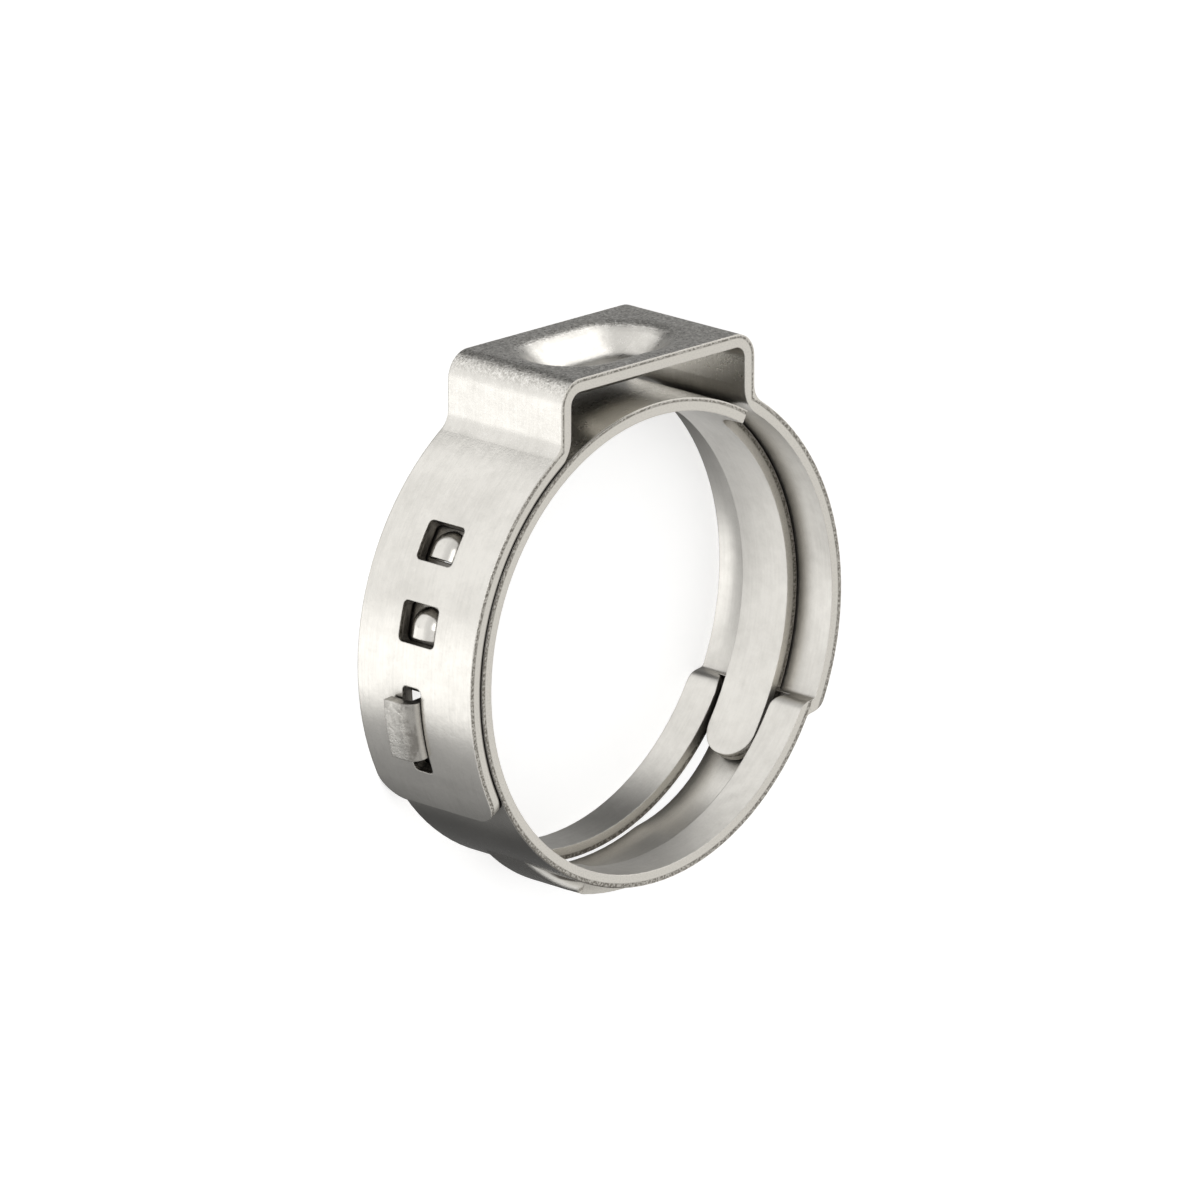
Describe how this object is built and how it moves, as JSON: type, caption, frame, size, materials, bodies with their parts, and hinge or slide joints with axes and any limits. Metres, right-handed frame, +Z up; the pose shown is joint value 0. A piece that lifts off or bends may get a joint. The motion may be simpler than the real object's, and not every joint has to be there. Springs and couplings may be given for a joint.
{
  "type": "ear hose clamp",
  "caption": "Stepless ear clamp formed from one stainless strip; squeezing the raised ear tightens the round band on a hose over a spigot.",
  "frame": {"origin": "on the bore axis, at the middle of the strip's width", "axes": "+Z along the bore axis, across the strip; +Y from the axis towards the middle of the ear; +X towards the side where the band steps down from its outer layer to its two rails. The clamp lies on one rim, so +Z points up."},
  "size_m": [0.0242, 0.025, 0.007],
  "materials": {
    "stainless_strip": "plain rolled stainless strip, satin, with matt pressed areas and blanked edges"
  },
  "bodies": {
    "root": {"clamp_band": "stainless_strip"}
  },
  "joints": []
}
